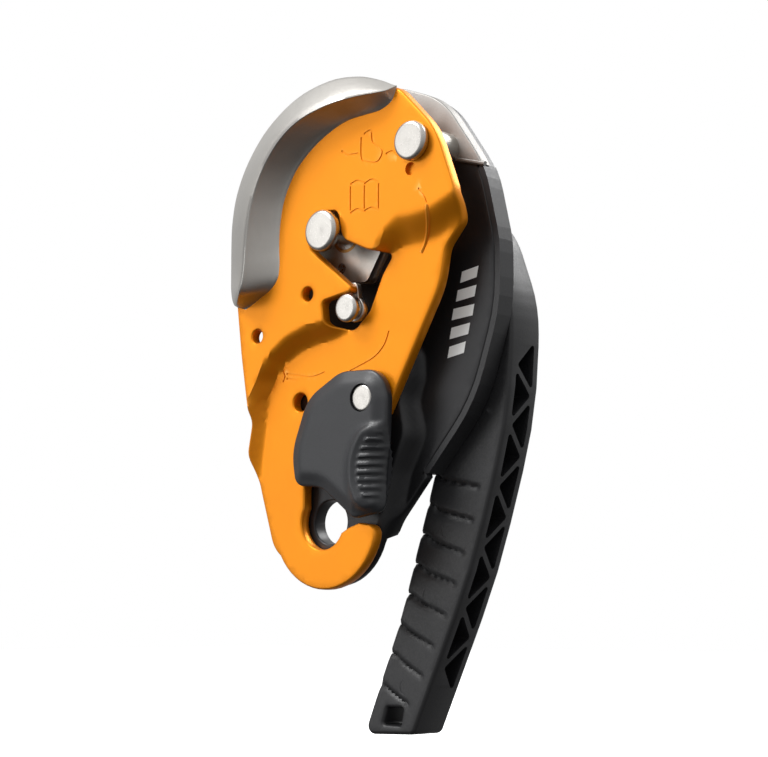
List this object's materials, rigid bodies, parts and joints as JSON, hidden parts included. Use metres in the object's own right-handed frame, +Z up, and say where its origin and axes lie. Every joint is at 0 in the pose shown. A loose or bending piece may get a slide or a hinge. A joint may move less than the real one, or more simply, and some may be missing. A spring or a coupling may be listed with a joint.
{
  "type": "rope descender",
  "caption": "Self-braking rope descender: a lever-released cam between two side plates, one of which swings open, with a gated attachment hook.",
  "frame": {"origin": "centre of the attachment hole in the fixed side plate, at the middle of its length", "axes": "-Y is the front, the side of the moving side plate; +Z is up with the attachment hole at the bottom; +X is to the right in the front view"},
  "size_m": [0.111, 0.0565, 0.2326],
  "materials": {
    "orange_anodised": "satin anodised",
    "black_anodised": "satin anodised",
    "stainless_satin": "satin",
    "turned_steel": "turned",
    "cast_steel": "fine blasted",
    "spring_steel": "drawn wire",
    "bronze": "turned",
    "black_nylon": "fine textured",
    "red_nylon": "fine textured"
  },
  "bodies": {
    "fixed_side": {"fixed_side_plate": "black_anodised", "wear_strip": "stainless_satin", "edge_guard": "black_nylon", "rear_cover": "black_nylon", "cover_screws": "turned_steel", "cam_axle": "turned_steel", "hinge_pin": "turned_steel", "hinge_spacer": "cast_steel", "friction_block": "cast_steel", "block_screws": "turned_steel", "catch_pin": "turned_steel", "catch_spring": "spring_steel", "cam_spring": "spring_steel"},
    "moving_side": {"moving_side_plate": "orange_anodised", "friction_plate": "stainless_satin", "friction_rivets": "turned_steel", "locking_stud": "turned_steel", "gate_pin": "turned_steel", "gate_spring": "spring_steel"},
    "gate": {"gate": "black_nylon"},
    "cam": {"cam": "cast_steel", "cam_bush": "bronze", "cam_drive_pin": "turned_steel"},
    "anti_error_catch": {"anti_error_catch": "cast_steel"},
    "handle": {"handle": "black_nylon", "hub_bush": "bronze", "release_eccentric": "cast_steel", "return_spring": "spring_steel", "hub_cap": "black_nylon", "hub_screw": "turned_steel", "button_spring": "spring_steel"},
    "button": {"button": "red_nylon"}
  },
  "joints": [
    {"name": "side_plate_swing", "type": "hinge", "parent": "fixed_side", "child": "moving_side", "pos_m": [0.0484, 0, 0.1291], "axis": [0, 1, 0], "range_deg": [0, 25]},
    {"name": "gate_swing", "type": "hinge", "parent": "moving_side", "child": "gate", "pos_m": [0.0234, 0, 0.0422], "axis": [0, 1, 0], "range_deg": [0, 28], "stiffness_Nm_per_rad": 0.03, "springref_deg": -34.38},
    {"name": "handle_turn", "type": "hinge", "parent": "fixed_side", "child": "handle", "pos_m": [0.007, 0, 0.103], "axis": [0, -1, 0], "range_deg": [0, 110]},
    {"name": "cam_turn", "type": "hinge", "parent": "fixed_side", "child": "cam", "pos_m": [0.007, 0, 0.103], "axis": [0, -1, 0], "range_deg": [0, 16.5]},
    {"name": "catch_swing", "type": "hinge", "parent": "fixed_side", "child": "anti_error_catch", "pos_m": [0.03, 0, 0.141], "axis": [0, 1, 0], "range_deg": [0, 20], "stiffness_Nm_per_rad": 0.01, "springref_deg": -34.38},
    {"name": "button_push", "type": "slide", "parent": "handle", "child": "button", "axis": [0, -1, 0], "range_m": [0, 0.003], "stiffness_N_per_m": 400, "springref_m": -0.002, "deforming": ["button_spring"]}
  ],
  "couplings": [
    {"joint": "cam_turn", "follows": "handle_turn", "ratio": 0.15}
  ]
}
